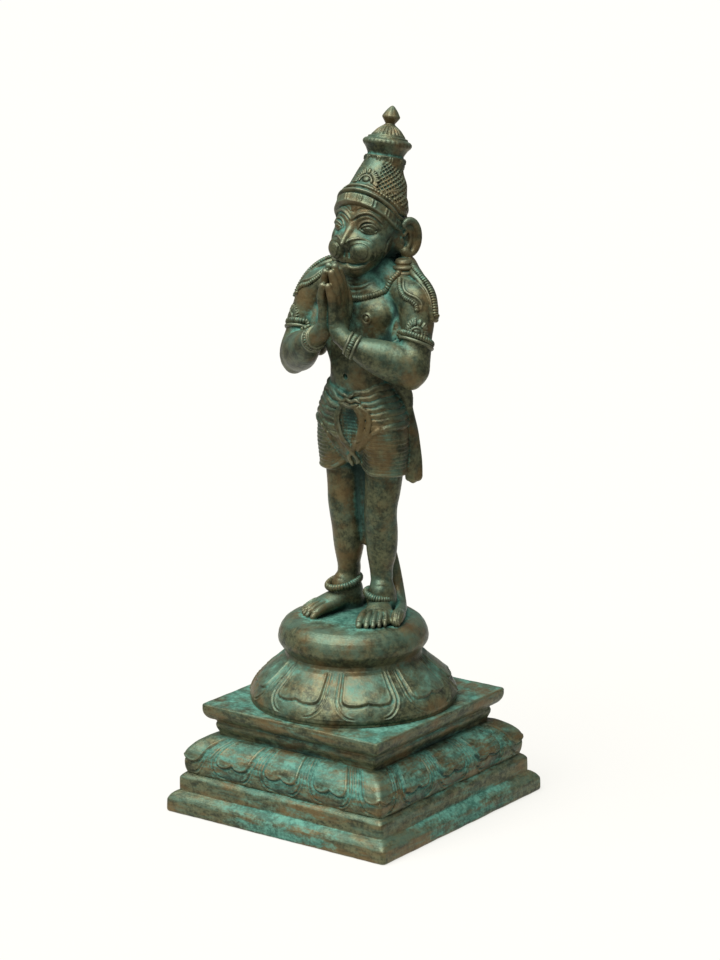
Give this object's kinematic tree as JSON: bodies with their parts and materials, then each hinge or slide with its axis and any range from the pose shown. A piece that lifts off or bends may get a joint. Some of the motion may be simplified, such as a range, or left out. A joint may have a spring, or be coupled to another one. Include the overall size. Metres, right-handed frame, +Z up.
{
  "type": "bronze figure of a praying monkey devotee on a plinth",
  "caption": "Crowned monkey-headed devotee with joined palms, standing on a round lotus pedestal and a square moulded plinth, in patinated bronze.",
  "frame": {"origin": "middle of the square plinth's underside", "axes": "+Z up, the figure and the plinth's front face look along -Y, and +X is on the figure's left"},
  "size_m": [0.154, 0.154, 0.3961],
  "materials": {
    "bronze": "olive-brown cast bronze with green patina in the recesses and rubbed edges"
  },
  "bodies": {
    "root": {"figure_on_lotus": "bronze", "square_plinth": "bronze"}
  },
  "joints": []
}
